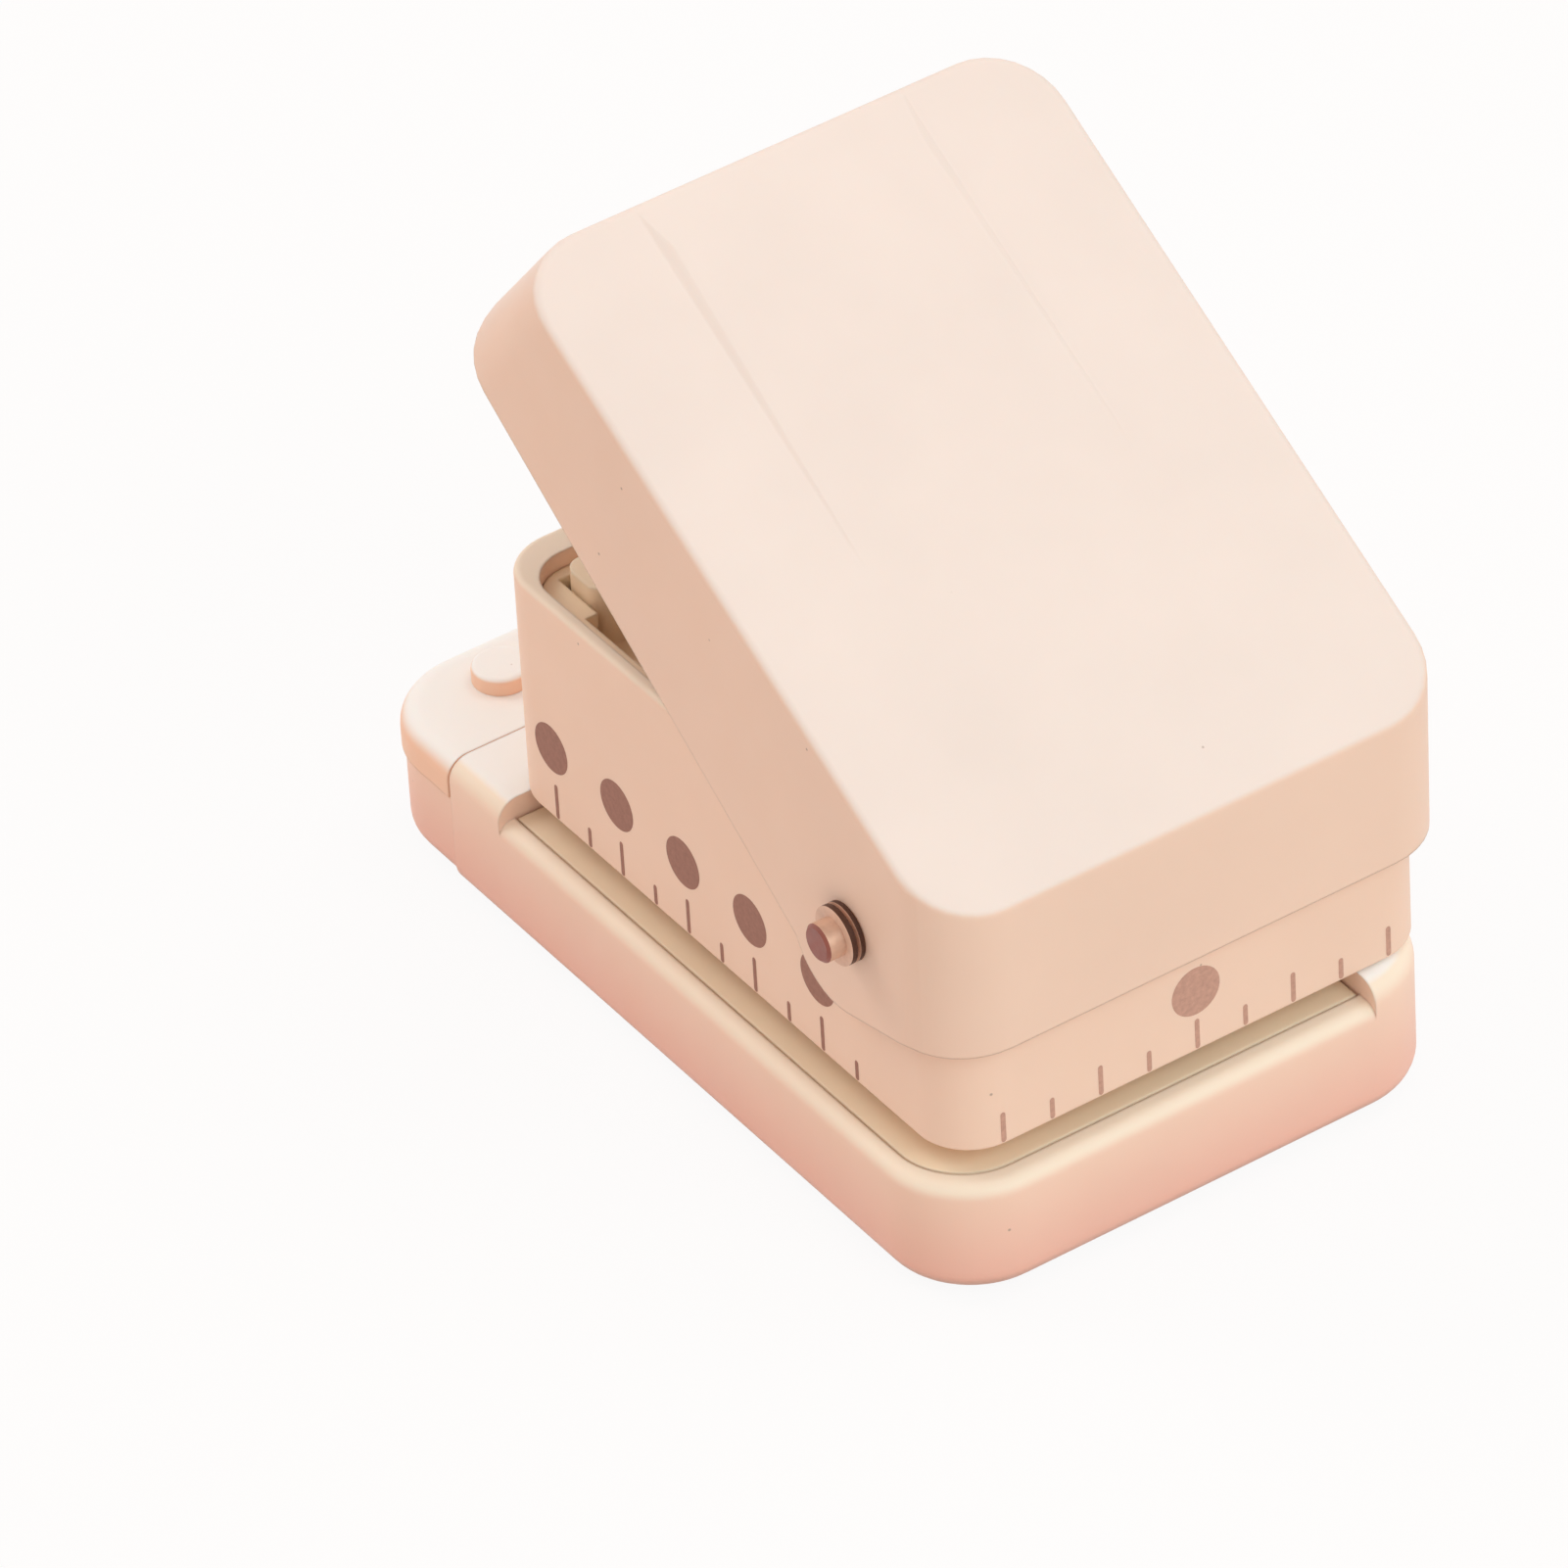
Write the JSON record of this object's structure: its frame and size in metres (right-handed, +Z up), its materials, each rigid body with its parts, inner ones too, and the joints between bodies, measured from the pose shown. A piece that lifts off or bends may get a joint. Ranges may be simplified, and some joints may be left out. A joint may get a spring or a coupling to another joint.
{
  "type": "portable hole punch",
  "caption": "Pocket paper punch: a lever over a boxy body drives a row of side punches and one front punch through an L-shaped paper slot, with a pull-out gauge behind.",
  "frame": {"origin": "on the bottom of the chip tray, which the punch stands on, under the middle of the punch body", "axes": "+Z up, +Y from the front face to the rear gauge, +X to the right along the front face"},
  "size_m": [0.0566, 0.0838, 0.071],
  "materials": {
    "cream_plastic": "matte",
    "steel": "ground",
    "bronze": "satin"
  },
  "bodies": {
    "base": {"base_shell": "cream_plastic", "deck_plate": "cream_plastic", "die_strip": "steel", "single_die": "steel", "punch_body": "cream_plastic", "top_frame": "cream_plastic", "body_screws": "steel", "pivot_pin": "bronze", "washer_left": "bronze", "washer_right": "bronze", "clip_left": "bronze", "clip_right": "bronze", "return_spring_1": "steel", "return_spring_2": "steel", "gauge_stop_pin": "steel"},
    "lever": {"lever": "cream_plastic"},
    "presser": {"presser": "cream_plastic", "pin_carrier": "steel", "carrier_screws": "steel", "punch_1": "steel", "punch_2": "steel", "punch_3": "steel", "punch_4": "steel", "punch_5": "steel", "single_punch": "steel"},
    "gauge": {"gauge_block": "cream_plastic"},
    "tray": {"chip_tray": "cream_plastic"}
  },
  "joints": [
    {"name": "lever_hinge", "type": "hinge", "parent": "base", "child": "lever", "pos_m": [0, -0.0208, 0.0316], "axis": [1, 0, 0], "range_deg": [-29.8, 0], "stiffness_Nm_per_rad": 0.07, "springref_deg": 37.24},
    {"name": "presser_slide", "type": "slide", "parent": "base", "child": "presser", "axis": [0, 0, -1], "range_m": [0, 0.004], "deforming": ["return_spring_1", "return_spring_2"]},
    {"name": "gauge_slide", "type": "slide", "parent": "base", "child": "gauge", "axis": [0, 1, 0], "range_m": [0, 0.019]},
    {"name": "tray_slide", "type": "slide", "parent": "base", "child": "tray", "axis": [0, 0, -1], "range_m": [0, 0.012]}
  ],
  "couplings": [
    {"joint": "presser_slide", "follows": "lever_hinge", "m_per_rad": -0.00769}
  ]
}
